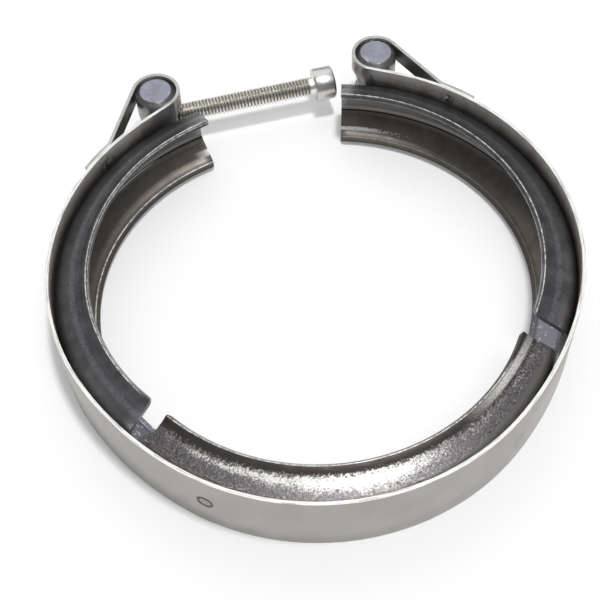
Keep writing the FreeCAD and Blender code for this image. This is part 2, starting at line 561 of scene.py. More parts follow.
@dataclass(frozen=True)
class Steel:
    """A bare steel finish with its own grain.

    Attributes:
        name: Name of the finish.
        light: Colour of the clean metal.
        dark: Colour of the duller patches.
        patch: Size of the patches in metres.
        smooth: Roughness of the smoothest patches.
        rough: Roughness of the roughest patches.
        grain: Size of the grain in metres.
        grain_depth: Depth of the grain in metres.
    """

    name: str
    light: Colour
    dark: Colour
    patch: float
    smooth: float
    rough: float
    grain: float
    grain_depth: float

    PATCH_DETAIL = 5.0
    PATCH_ENDS = (0.38, 0.62)

    def material(self) -> bpy.types.Material:
        """Build the node material.

        Returns:
            The material.
        """
        tree = FinishTree(self.name)
        patches = tree.noise(Grain(self.patch, self.PATCH_DETAIL))
        start, end = self.PATCH_ENDS
        tree.colour = tree.ramp(patches, [(start, self.dark), (end, self.light)])
        tree.rough = tree.fade(patches, Span(start, end, self.rough, self.smooth))
        self.mark(tree)
        tree.shade(Base_Color=tree.colour, Roughness=tree.rough, Metallic=tree.metal,
                   Normal=tree.bump(tree.noise(Grain(self.grain)), self.grain_depth))
        return tree.material

    def mark(self, tree: FinishTree) -> None:
        """Lay wear and marks over the plain finish."""


@dataclass(frozen=True)
class StrapSteel(Steel):
    """The strap: satin faces, sheared edges, painted shade and painted light on the inner face, weld scorch
    marks, a dimple's painted shade and a painted glint.
    """

    INNER_FACE = Span(-0.45, -0.3, 1.0, 0.0)
    # Painted shade: the inner face is the same steel as the outer one, painted darker, with a warm mottle.
    INNER_SHADE = Coat((0.23, 0.21, 0.18), 0.5)
    INNER_SHADE_GRAIN = Grain(0.006, 6.0, 0.7)
    INNER_SHADE_SHARE = Span(0.4, 0.62, 0.25, 1.0)
    # Painted light: the inner face is painted lighter towards its top edge.
    INNER_TOP_LIGHT = Coat((0.62, 0.60, 0.56), 0.42, 0.7)
    INNER_TOP_LIGHT_HEIGHT = Span(6.0, 10.5, 0.0, 0.6)
    # Painted light along the top of the inner face, broken up by a mottle.
    INNER_LIT_MOTTLE = Coat((0.68, 0.66, 0.62), 0.40, 0.9)
    INNER_LIT_MOTTLE_FACE = Span(-0.45, -0.2, 1.0, 0.0)
    INNER_LIT_MOTTLE_HEIGHT = Span(8.4, 10.2, 0.0, 0.75)
    INNER_LIT_MOTTLE_GRAIN = Grain(0.0022, 4.0, 0.7)
    INNER_LIT_MOTTLE_SHARE = Span(0.42, 0.62, 0.35, 1.0)
    SHEARED = Coat((0.90, 0.89, 0.87), 0.5, 0.2)
    SHEARED_LEVEL = Span(10.88, 10.94)
    LOOP_EDGE = Coat((0.46, 0.46, 0.465), 0.38)
    LOOP_OFFSET = Span(0.45, 0.62, 0.0, 0.85)
    STREAK = Coat((0.30, 0.29, 0.28), 0.5, 0.5)
    STREAK_STRETCH = (5.0, 0.12, 0.0)
    STREAK_GRAIN = Grain(1.0)
    STREAK_SHARE = Span(0.52, 0.62, 0.0, 0.9)

    SCORCH = Coat((0.07, 0.06, 0.04), 0.45, 0.9)
    SCORCH_GRAIN = Grain(0.0012, 4.0, 0.75)
    SCORCH_SHARE = Span(0.45, 0.55)
    # The first spot is a weld's scorch; the second, by the right loop, is a dimple whose shade is painted
    # dark, with a pale fleck at its core.
    SCORCH_AND_DIMPLE_PLACES = (Mark(-48.27, 54.51, 6.5, 4.2, 3.36), Mark(52.14, 53.76, 7.25, 3.4, 2.72))
    FLECK = Coat((0.90, 0.88, 0.82), 0.35, 0.4)
    FLECK_SHARE = Span(0.40, 0.46, 1.0, 0.0)
    FLECK_RADIUS = 0.45
    FLECK_RIM = 0.3
    RING_LINE = Coat((0.08, 0.07, 0.06), 0.45, 0.9)
    RING_PLACES = (
        Mark(-40.33, -51.61, 0.25, 1.9, 0.75, 0.9),
        Mark(-40.33, -51.61, 0.25, 0.8, 0.75, 0.25),
        Mark(38.96, -52.65, -2.0, 1.7, 0.75, 0.3),
    )
    # Painted glint: a small white spot on the strap's inner face.
    PAINTED_GLINT = Coat((1.0, 1.0, 1.0), 0.4, 0.0)
    PAINTED_GLINT_PLACE = Mark(69.24, -8.94, -0.25, 1.1, 0.4)

    def mark(self, tree: FinishTree) -> None:
        """Lay the sheared edges, painted shade and painted light on the inner face, and the weld marks over
        the satin.

        Args:
            tree: The material under construction.
        """
        place = BandPlace(tree)
        inner = tree.fade(place.offset, self.INNER_FACE)
        tree.lay(self.INNER_SHADE, inner, tree.speckle(self.INNER_SHADE_GRAIN, self.INNER_SHADE_SHARE))
        tree.lay(self.INNER_TOP_LIGHT, inner, tree.fade(place.height, self.INNER_TOP_LIGHT_HEIGHT))
        tree.lay(self.INNER_LIT_MOTTLE, tree.fade(place.offset, self.INNER_LIT_MOTTLE_FACE),
                 tree.fade(place.height, self.INNER_LIT_MOTTLE_HEIGHT),
                 tree.speckle(self.INNER_LIT_MOTTLE_GRAIN, self.INNER_LIT_MOTTLE_SHARE))
        self.scorch(place)
        sheared = tree.fade(place.level, self.SHEARED_LEVEL)
        tree.lay(self.SHEARED, sheared)
        tree.lay(self.LOOP_EDGE, sheared, tree.fade(place.offset, self.LOOP_OFFSET))
        along = tree.vector(PlaceSum.STRETCH, place.sheet, self.STREAK_STRETCH)
        tree.lay(self.STREAK, sheared, tree.speckle(self.STREAK_GRAIN, self.STREAK_SHARE, along))

    def scorch(self, place: BandPlace) -> None:
        """Darken the strap round a spot weld, paint the shade in a dimple, draw the weld rings and lay a
        painted glint.

        Args:
            place: Where a point lies on the band.
        """
        tree = place.tree
        ragged = tree.noise(self.SCORCH_GRAIN)
        for mark in self.SCORCH_AND_DIMPLE_PLACES:
            tree.lay(self.SCORCH, place.spot(mark), tree.fade(ragged, self.SCORCH_SHARE))
            core = replace(mark, radius=self.FLECK_RADIUS * mark.radius, width=self.FLECK_RIM * mark.radius)
            tree.lay(self.FLECK, place.spot(core), tree.fade(ragged, self.FLECK_SHARE))
        for mark in self.RING_PLACES:
            tree.lay(self.RING_LINE, place.ring(mark), mark.share)
        tree.lay(self.PAINTED_GLINT, place.spot(self.PAINTED_GLINT_PLACE))


@dataclass(frozen=True)
class RetainerSteel(Steel):
    """The pressed retainers: dark sheet, warmer inside the groove, bright lines of wear and painted
    highlight along the lips' rims, painted shade in a crease and under the lower lip, and painted highlights
    and sheen on the legs.
    """

    GROOVE = Coat((0.20, 0.182, 0.162), 0.42)
    GROOVE_HEIGHT = Span(2.0, 5.0, 1.0, 0.0)
    # A darker mottle inside the groove.
    GROOVE_MOTTLE = Coat((0.11, 0.10, 0.09), 0.54, 0.95)
    GROOVE_MOTTLE_GRAIN = Grain(0.005, 6.0, 0.75)
    GROOVE_MOTTLE_SHARE = Span(0.38, 0.66, 0.0, 0.55)
    CLEAN = Coat((0.21, 0.21, 0.245), 0.34)
    CLEAN_TURNS = (Span(0.90, 0.94), Span(1.36, 1.45, 1.0, 0.0))
    SPECK = Coat((0.92, 0.92, 0.95), 0.4, 0.1)
    SPECK_GRAIN = Grain(0.0010, 3.0, 0.6)
    SPECK_SHARE = Span(0.58, 0.66, 0.0, 0.8)
    WEB = Coat((0.215, 0.208, 0.198), 0.42)
    WEB_OFFSET = Span(-3.2, -2.4)
    WEB_LEVEL = Span(4.3, 4.7, 1.0, 0.0)
    # Painted shadow: a dark line under the lower lip.
    LOWER_LIP_SHADOW = Coat((0.045, 0.042, 0.038), 0.5)
    LOWER_LIP_SHADOW_LINE = Stripe(-10.5, -9.75, 1.25)
    # Painted shade: a dark line in the crease where the web meets the lower leg.
    CREASE = Coat((0.02, 0.02, 0.018), 0.5)
    CREASE_SHADE_LINE = Stripe(-2.3, -4.5, 0.55)
    GLINT = Coat((0.9, 0.9, 0.88), 0.35, 0.2)
    GLINT_LINE = Stripe(-2.45, -4.6, 0.36)
    GLINT_TURNS = (Span(-2.66, -2.55, 0.0, 0.8), Span(-2.2, -1.95, 1.0, 0.0))

    # Painted highlight: a ragged white band on the right arm's lower leg by its free end.
    END_HIGHLIGHT = Coat((1.0, 1.0, 0.98), 0.45, 0.0)
    END_HIGHLIGHT_GRAIN = Grain(0.0009, 4.0, 0.7)
    END_HIGHLIGHT_PLACE = Mark(22.2, 63.0, -7.2, 24.0, 17.0)
    END_HIGHLIGHT_LINE = Stripe(-7.55, -6.9, 1.15)
    END_HIGHLIGHT_DRIFT = 0.26
    END_HIGHLIGHT_SHARE = Span(0.62, 0.66)
    # Painted highlight: a white patch on the left arm's lower leg by its free end.
    CORNER_HIGHLIGHT = Coat((1.0, 1.0, 1.0), 0.45, 0.0)
    CORNER_HIGHLIGHT_PLACE = Mark(-18.9, 64.9, -6.2, 4.5, 3.0)
    CORNER_HIGHLIGHT_LINE = Stripe(-7.0, -6.4, 2.2)
    # Painted sheen: a soft light line along the arms' upper legs.
    LEG_SHEEN = Coat((0.50, 0.50, 0.54), 0.35)
    LEG_SHEEN_LINE = Stripe(-6.0, 8.0, 1.6)
    LEG_SHEEN_SHARE = Span(0.35, 0.6, 0.0, 0.45)

    # Bright lines along the lips' rims: partly wear, partly painted highlight.
    WEAR_AND_HIGHLIGHT = Coat((0.95, 0.95, 0.93), 0.32, 0.2)
    WEAR_AND_HIGHLIGHT_STRETCH = (1.5, 0.9, 1.5)
    WEAR_AND_HIGHLIGHT_GRAIN = Grain(1.0, 4.0)
    WEAR_AND_HIGHLIGHT_SHARE = Span(0.36, 0.58, 0.30, 1.0)
    WEAR_AND_HIGHLIGHT_LINES = (
        Stripe(-10.0, 10.34, 0.42),
        Stripe(-10.86, 9.24, 0.26, 0.5, 1),
        Stripe(-10.43, 9.79, 0.30, 0.8, -1),
        Stripe(-9.75, -8.35, 0.36, 1.0, -1),
        Stripe(-9.75, -8.35, 0.30, 0.25, 1),
    )
    SIDE_TURN = (0.1, 0.3)

    def mark(self, tree: FinishTree) -> None:
        """Lay the groove, painted shade in the crease and under the lower lip, the rims' wear with painted
        highlight, and painted highlights and sheen over the dark sheet.

        Args:
            tree: The material under construction.
        """
        place = BandPlace(tree)
        groove = tree.fade(place.height, self.GROOVE_HEIGHT)
        tree.lay(self.GROOVE, groove)
        tree.lay(self.GROOVE_MOTTLE, groove, tree.speckle(self.GROOVE_MOTTLE_GRAIN, self.GROOVE_MOTTLE_SHARE))
        turned = tree.size(place.turn)
        clean = tree.times(groove, *(tree.fade(turned, span) for span in self.CLEAN_TURNS))
        tree.lay(self.CLEAN, clean)
        tree.lay(self.SPECK, clean, tree.speckle(self.SPECK_GRAIN, self.SPECK_SHARE))
        tree.lay(self.WEB, tree.fade(place.offset, self.WEB_OFFSET), tree.fade(place.level, self.WEB_LEVEL))
        tree.lay(self.LOWER_LIP_SHADOW, place.line(self.LOWER_LIP_SHADOW_LINE))
        tree.lay(self.CREASE, place.line(self.CREASE_SHADE_LINE))
        tree.lay(self.GLINT, place.line(self.GLINT_LINE),
                 *(tree.fade(place.turn, span) for span in self.GLINT_TURNS))
        self.legs_and_painted_light(place)
        self.wear(place)

    def legs_and_painted_light(self, place: BandPlace) -> None:
        """Lay painted highlights by the arms' free ends and a painted sheen along the legs.

        Args:
            place: Where a point lies on the band.
        """
        tree = place.tree
        coarse = tree.noise(self.END_HIGHLIGHT_GRAIN)
        near = place.spot(self.END_HIGHLIGHT_PLACE)
        ragged = tree.fade(tree.plus(coarse, tree.times(near, self.END_HIGHLIGHT_DRIFT)), self.END_HIGHLIGHT_SHARE)
        tree.lay(self.END_HIGHLIGHT, place.line(self.END_HIGHLIGHT_LINE), ragged, near)
        tree.lay(self.CORNER_HIGHLIGHT, place.spot(self.CORNER_HIGHLIGHT_PLACE), place.line(self.CORNER_HIGHLIGHT_LINE))
        tree.lay(self.LEG_SHEEN, place.line(self.LEG_SHEEN_LINE), tree.fade(coarse, self.LEG_SHEEN_SHARE))

    def wear(self, place: BandPlace) -> None:
        """Lay the bright lines along the lips' rims, partly wear and partly painted highlight.

        Args:
            place: Where a point lies on the band.
        """
        tree = place.tree
        along = tree.vector(PlaceSum.STRETCH, place.sheet, self.WEAR_AND_HIGHLIGHT_STRETCH)
        worn = tree.speckle(self.WEAR_AND_HIGHLIGHT_GRAIN, self.WEAR_AND_HIGHLIGHT_SHARE, along)
        start, end = self.SIDE_TURN
        for stripe in self.WEAR_AND_HIGHLIGHT_LINES:
            masks = [worn, stripe.share, place.line(stripe)]
            if stripe.side:
                masks.append(tree.fade(place.turn, Span(stripe.side * start, stripe.side * end)))
            tree.lay(self.WEAR_AND_HIGHLIGHT, *masks)


@dataclass(frozen=True)
class FrontSteel(RetainerSteel):
    """The front retainer: its upper leg is sandy with a painted highlight, and its lip is painted dark as
    shade.
    """

    UPPER_HEIGHT = Span(3.0, 4.5)
    SAND_GRAIN = Grain(0.0006, 3.0, 0.7)
    SAND_DRIFT = Span(0.35, 0.65, -0.9, 0.9)
    # Painted shade: the lip is the same sheet as the leg, painted dark.
    LIP_SHADE = Coat((0.12, 0.105, 0.10), 0.40)
    LEG = Coat((0.25, 0.24, 0.245), 0.36)
    LEG_OFFSET = Span(-7.9, -7.5)
    PALE_SAND = Coat((0.55, 0.53, 0.52), 0.36, 0.9)
    PALE_SHARE = Span(0.56, 0.62, 0.0, 0.75)
    DARK_SAND = Coat((0.10, 0.09, 0.085), 0.42)
    DARK_SHARE = Span(0.39, 0.45, 0.8, 0.0)
    PLAIN = Coat((0.26, 0.26, 0.265), 0.35)
    PLAIN_DRIFT = Span(0.2, 0.8, 0.0, 1.7)
    PLAIN_OFFSET = Span(-2.8, -2.2)

    # Painted highlight: the bright speckled streak along the upper leg, below the lip.
    LEG_HIGHLIGHT = Coat((1.0, 0.99, 0.96), 0.34, 0.2)
    CREST_GRAIN = Grain(0.00045, 3.0, 0.8)
    CREST_SHARE = Span(0.66, 0.78, 0.0, 0.95)
    CREST_TURN = -0.03
    CREST_OFFSET = -6.7
    CREST_WIDTH = Span(0.10, 0.62, 4.0, 1.5)
    CREST_RISE = Span(0.0, 0.85, 0.0, 0.36)
    CREST_TURNS = (Span(0.02, 0.38, 1.0, 0.35), Span(-0.95, -0.15, 0.35, 1.0))
    BLOTCH_GRAIN = Grain(0.006, 3.0, 0.6)
    BLOTCH_DRIFT = Span(0.4, 0.6, -0.06, 0.06)
    LIT = Coat((0.98, 0.96, 0.92), 0.34, 0.2)
    LIT_TURNS = (Span(0.45, 0.68), Span(0.85, 1.10, 1.0, 0.2))
    LIT_SHARE = Span(0.38, 0.55, 0.5, 1.0)
    LIT_LINES = (Stripe(-9.1, 9.3, 2.0, 0.9), Stripe(-7.3, 7.8, 0.4, 0.8))

    def legs_and_painted_light(self, place: BandPlace) -> None:
        """Lay painted shade on the lip, the sandy leg with its painted highlight, and the plain band beside
        the strap.

        Args:
            place: Where a point lies on the band.
        """
        tree = place.tree
        upper = tree.fade(place.height, self.UPPER_HEIGHT)
        grain = tree.noise(self.SAND_GRAIN)
        ragged = tree.plus(place.offset, tree.fade(grain, self.SAND_DRIFT))
        leg = tree.times(upper, tree.fade(ragged, self.LEG_OFFSET))
        tree.lay(self.LIP_SHADE, tree.minus(upper, leg))
        tree.lay(self.LEG, leg)
        tree.lay(self.PALE_SAND, leg, tree.fade(grain, self.PALE_SHARE))
        tree.lay(self.DARK_SAND, leg, tree.fade(grain, self.DARK_SHARE))
        self.crest(place, upper, leg)
        edge = tree.plus(place.offset, tree.fade(place.turn, self.PLAIN_DRIFT))
        tree.lay(self.PLAIN, upper, tree.fade(edge, self.PLAIN_OFFSET))

    def crest(self, place: BandPlace, upper: Socket, leg: Socket) -> None:
        """Lay the painted highlight that runs below the lip, and painted light on the lip on the right.

        Args:
            place: Where a point lies on the band.
            upper: 1 on the upper leg and 0 elsewhere.
            leg: 1 on the sandy leg and 0 elsewhere.
        """
        tree = place.tree
        grain = tree.noise(self.CREST_GRAIN)
        width = tree.fade(tree.size(tree.minus(place.turn, self.CREST_TURN)), self.CREST_WIDTH)
        away = tree.size(tree.minus(place.offset, self.CREST_OFFSET))
        close = tree.minus(1.0, tree.sum(Sum.OVER, away, width))
        strength = tree.times(*(tree.fade(place.turn, span) for span in self.CREST_TURNS))
        blotches = tree.speckle(self.BLOTCH_GRAIN, self.BLOTCH_DRIFT)
        level = tree.times(tree.fade(close, self.CREST_RISE), strength)
        level = tree.plus(level, tree.times(blotches, strength))
        tree.lay(self.LEG_HIGHLIGHT, tree.fade(tree.plus(level, grain), self.CREST_SHARE), leg)
        sheen = tree.times(upper, *(tree.fade(place.turn, span) for span in self.LIT_TURNS))
        for stripe in self.LIT_LINES:
            tree.lay(self.LIT, place.line(stripe), stripe.share, tree.fade(grain, self.LIT_SHARE), sheen)


@dataclass(frozen=True)
class ThreadedSteel(Steel):
    """The screw: bright plating with painted shade in the thread grooves."""

    HEAD = Coat((0.62, 0.61, 0.60), 0.30)
    HEAD_RADIUS = Span(3.1 * MM, 3.2 * MM)
    # Painted shade: the thread's root is darkened.
    ROOT = Coat((0.22, 0.20, 0.17), 0.40, 0.85)
    ROOT_SHADE_RADIUS = Span(2.44 * MM, 2.58 * MM, 0.95, 0.0)
    STAIN = Coat((0.42, 0.38, 0.31), 0.45)
    STAIN_GRAIN = Grain(0.0035, 4.0, 0.65)
    STAIN_SHARE = Span(0.60, 0.70, 0.0, 0.45)

    def mark(self, tree: FinishTree) -> None:
        """Darken the head, paint shade into the thread's root and stain the plating.

        Args:
            tree: The material under construction.
        """
        turn = math.radians(SCREW.azimuth)
        east, north, height = tree.parts(tree.place)
        aside = tree.minus(tree.times(tree.minus(north, SCREW.y * MM), math.cos(turn)),
                           tree.times(tree.minus(east, SCREW.x * MM), math.sin(turn)))
        radius = tree.reach(aside, height)
        tree.lay(self.HEAD, tree.fade(radius, self.HEAD_RADIUS))
        tree.lay(self.ROOT, tree.fade(radius, self.ROOT_SHADE_RADIUS))
        tree.lay(self.STAIN, tree.speckle(self.STAIN_GRAIN, self.STAIN_SHARE))


@dataclass(frozen=True)
class TurnedSteel(Steel):
    """Turned and plated pieces: dull sides, paler end faces and small scuffs."""

    SIDE = Coat((0.26, 0.26, 0.255), 0.36)
    SIDE_LEVEL = Span(11.05 * MM, 11.1 * MM, 1.0, 0.0)
    SCUFF = Coat((0.75, 0.74, 0.76), 0.35, 0.9)
    SCUFF_STRETCH = (1.0, 0.35, 1.0)
    SCUFF_TURN = 0.6
    SCUFF_GRAIN = Grain(0.0012, 5.0, 0.7)
    SCUFF_SHARE = Span(0.60, 0.66, 0.0, 0.6)
    SPECK = Coat((0.13, 0.12, 0.13), 0.5, 0.9)
    SPECK_GRAIN = Grain(0.0006, 3.0, 0.7)
    SPECK_SHARE = Span(0.62, 0.70, 0.0, 0.6)

    def mark(self, tree: FinishTree) -> None:
        """Lay the dull sides, small pale scuffs and dark specks over the plating.

        Args:
            tree: The material under construction.
        """
        level = tree.size(tree.parts(tree.place)[2])
        tree.lay(self.SIDE, tree.fade(level, self.SIDE_LEVEL))
        drawn = tree.stretched(self.SCUFF_STRETCH, self.SCUFF_TURN)
        tree.lay(self.SCUFF, tree.speckle(self.SCUFF_GRAIN, self.SCUFF_SHARE, drawn))
        tree.lay(self.SPECK, tree.speckle(self.SPECK_GRAIN, self.SPECK_SHARE))


STRAP_FINISH = StrapSteel("strap_satin", light=(0.415, 0.40, 0.38), dark=(0.39, 0.377, 0.357),
                          patch=0.012, smooth=0.37, rough=0.41, grain=0.0004, grain_depth=0.000004)
RETAINER_FINISH = RetainerSteel("retainer_pressed", light=(0.25, 0.248, 0.270), dark=(0.15, 0.149, 0.160),
                                patch=0.005, smooth=0.30, rough=0.42, grain=0.0006, grain_depth=0.000012)
FRONT_FINISH = FrontSteel("retainer_blasted", light=(0.25, 0.24, 0.24), dark=(0.15, 0.145, 0.145),
                          patch=0.005, smooth=0.30, rough=0.42, grain=0.0005, grain_depth=0.00005)
TRUNNION_FINISH = TurnedSteel("trunnion_zinc", light=(0.32, 0.32, 0.385), dark=(0.27, 0.27, 0.325),
                              patch=0.003, smooth=0.38, rough=0.45, grain=0.0003, grain_depth=0.00001)
SCREW_FINISH = ThreadedSteel("screw_zinc", light=(0.97, 0.96, 0.92), dark=(0.88, 0.865, 0.82),
                             patch=0.003, smooth=0.24, rough=0.34, grain=0.0003, grain_depth=0.000005)


def placed(name: str, data: bpy.types.ID | None) -> bpy.types.Object:
    """A new object in the scene.

    Args:
        name: Its name.
        data: Its mesh, light or camera.

    Returns:
        The object.
    """
    made = bpy.data.objects.new(name, data)
    bpy.context.scene.collection.objects.link(made)
    return made


def solid_object(name: str, source: bmesh.types.BMesh, material: bpy.types.Material,
                 crease: float) -> bpy.types.Object:
    """Turn a mesh under construction into an object with smooth faces and sharp creases.

    Args:
        name: Name of the object.
        source: The mesh under construction, which is freed.
        material: Its finish.
        crease: Edges bent by more degrees than this stay sharp.

    Returns:
        The object.
    """
    mesh = bpy.data.meshes.new(name)
    source.to_mesh(mesh)
    source.free()
    mesh.materials.clear()
    mesh.materials.append(material)
    mesh.polygons.foreach_set("material_index", [0] * len(mesh.polygons))
    mesh.polygons.foreach_set("use_smooth", [True] * len(mesh.polygons))
    mesh.set_sharp_from_angle(angle=math.radians(crease))
    return placed(name, mesh)


@dataclass(frozen=True)
class Ring:
    """A ring of a turned piece, in millimetres.

    Attributes:
        along: Place along the axis.
        radius: Radius, or half of the width across the flats of a hexagon.
        hexagon: Whether the ring is a hexagon.
    """

    along: float
    radius: float
    hexagon: bool = False

    def reach(self, turn: float) -> float:
        """Distance from the axis at a turn.

        Args:
            turn: The turn in radians.

        Returns:
            The distance.
        """
        if not self.hexagon:
            return self.radius
        sixth = math.pi / 3
        return self.radius / math.cos((turn + sixth / 2) % sixth - sixth / 2)


def lathe(mesh: bmesh.types.BMesh, rings: list[Ring], around: int) -> None:
    """Add a turned piece about +X, whose rings run with the outside on their left.

    Args:
        mesh: The mesh that it is added to.
        rings: Its rings in order.
        around: Corners of each ring.
    """
    loops = []
    for ring in rings:
        loop = []
        for step in range(around):
            turn = 2 * math.pi * step / around
            reach = ring.reach(turn)
            loop.append(mesh.verts.new((ring.along, reach * math.cos(turn), reach * math.sin(turn))))
        loops.append(loop)
    for first, second in zip(loops, loops[1:]):
        for step in range(around):
            after = (step + 1) % around
            mesh.faces.new((first[step], first[after], second[after], second[step]))


class ThreadNodes(Tree):
    """Geometry nodes of a screw thread: a strip whose rows follow the helix, rolled round the axis."""

    SIZES = ("Length", "Pitch", "Crest Radius", "Depth", "Tip Radius", "Neck Radius")
    PITCH_ROWS = 8
    AROUND = 72
    ROOT_START = 3 / 8
    FLANK = 5 / 16
    WELD = 1e-5

    def __init__(self) -> None:
        """Start the node group with its named sizes."""
        self.group = bpy.data.node_groups.new("screw_thread", "GeometryNodeTree")
        super().__init__(self.group)
        new_socket = self.group.interface.new_socket
        new_socket(name="Geometry", in_out="OUTPUT", socket_type="NodeSocketGeometry")
        self.sockets = {name: new_socket(name=name, in_out="INPUT", socket_type="NodeSocketFloat").identifier
                        for name in self.SIZES}
        self.sizes = self.nodes.new("NodeGroupInput").outputs

    def then(self, kind: str, geometry: Socket | None, out: str,
             **feeds: Feed | bpy.types.Material) -> Socket:
        """A geometry node fed with a geometry and fields.

        Args:
            kind: Type of the node.
            geometry: What it works on, if anything.
            out: Name of its output.
            feeds: Sockets or values for its inputs, with underscores for spaces.

        Returns:
            Its output.
        """
        node = self.nodes.new(kind)
        if geometry is not None:
            self.links.new(geometry, node.inputs[0])
        for name, value in feeds.items():
            self.feed(value, node.inputs[name.replace("_", " ")])
        return node.outputs[out]

    def kept(self, value: Socket, least: float, most: Feed) -> Socket:
        """A number kept between two others."""
        return self.sum(Sum.LEAST, self.sum(Sum.MOST, value, least), most)

    def profile(self, base: Socket, along: Socket) -> Socket:
        """Radius of the thread: crest, flanks and root, the tip's chamfer and the run-out at the neck.

        Args:
            base: Place along the strip, which gives the phase in the pitch.
            along: Place along the screw.

        Returns:
            The radius.
        """
        phase = self.sum(Sum.FRACTION, self.sum(Sum.OVER, base, self.sizes["Pitch"]))
        away = self.size(self.minus(phase, 0.5))
        crest = self.kept(self.sum(Sum.OVER, self.minus(self.ROOT_START, away), self.FLANK), 0.0, 1.0)
        sunk = self.times(self.minus(1.0, crest), self.sizes["Depth"])
        radius = self.minus(self.sizes["Crest Radius"], sunk)
        tip = self.plus(self.sizes["Tip Radius"], along)
        neck = self.plus(self.sizes["Neck Radius"], self.minus(self.sizes["Length"], along))
        return self.sum(Sum.LEAST, radius, self.sum(Sum.LEAST, tip, neck))

    def build(self, length: float, pitch: float, material: bpy.types.Material) -> None:
        """Link the nodes up.

        Args:
            length: Threaded length, for the number of rows.
            pitch: Pitch, for the number of rows.
            material: Finish of the thread.
        """
        reach = self.plus(self.sizes["Length"], self.sizes["Pitch"])
        strip = self.then("GeometryNodeMeshGrid", None, "Mesh", Size_X=reach, Size_Y=2 * math.pi,
                          Vertices_X=round((length / pitch + 1) * self.PITCH_ROWS) + 1,
                          Vertices_Y=self.AROUND + 1)
        position = self.then("GeometryNodeInputPosition", None, "Position")
        across, turn, _ = self.parts(position)
        base = self.minus(self.plus(across, self.times(reach, 0.5)), self.sizes["Pitch"])
        helix = self.times(self.plus(self.sum(Sum.OVER, turn, 2 * math.pi), 0.5), self.sizes["Pitch"])
        along = self.kept(self.plus(base, helix), 0.0, self.sizes["Length"])
        radius = self.profile(base, along)
        joined = self.join(along, self.times(radius, self.sum(Sum.COSINE, turn)),
                           self.times(radius, self.sum(Sum.SINE, turn)))
        rolled = self.then("GeometryNodeSetPosition", strip, "Geometry", Position=joined)
        welded = self.then("GeometryNodeMergeByDistance", rolled, "Geometry", Distance=self.WELD)
        turned = self.then("GeometryNodeFlipFaces", welded, "Mesh")
        real = self.then("GeometryNodeRealizeInstances", turned, "Geometry")
        dressed = self.then("GeometryNodeSetMaterial", real, "Geometry", Material=material)
        self.links.new(dressed, self.nodes.new("NodeGroupOutput").inputs["Geometry"])

    def bake(self, values: dict[str, float]) -> bpy.types.Mesh:
        """Evaluate the nodes with the given sizes into a plain mesh.

        Args:
            values: A number for each named size.

        Returns:
            The mesh.
        """
        carrier = placed("thread_carrier", bpy.data.meshes.new("thread_carrier"))
        modifier = carrier.modifiers.new("thread", "NODES")
        modifier.node_group = self.group
        for name, value in values.items():
            modifier[self.sockets[name]] = value
        graph = bpy.context.evaluated_depsgraph_get()
        mesh = bpy.data.meshes.new_from_object(carrier.evaluated_get(graph))
        bpy.data.objects.remove(carrier)
        return mesh


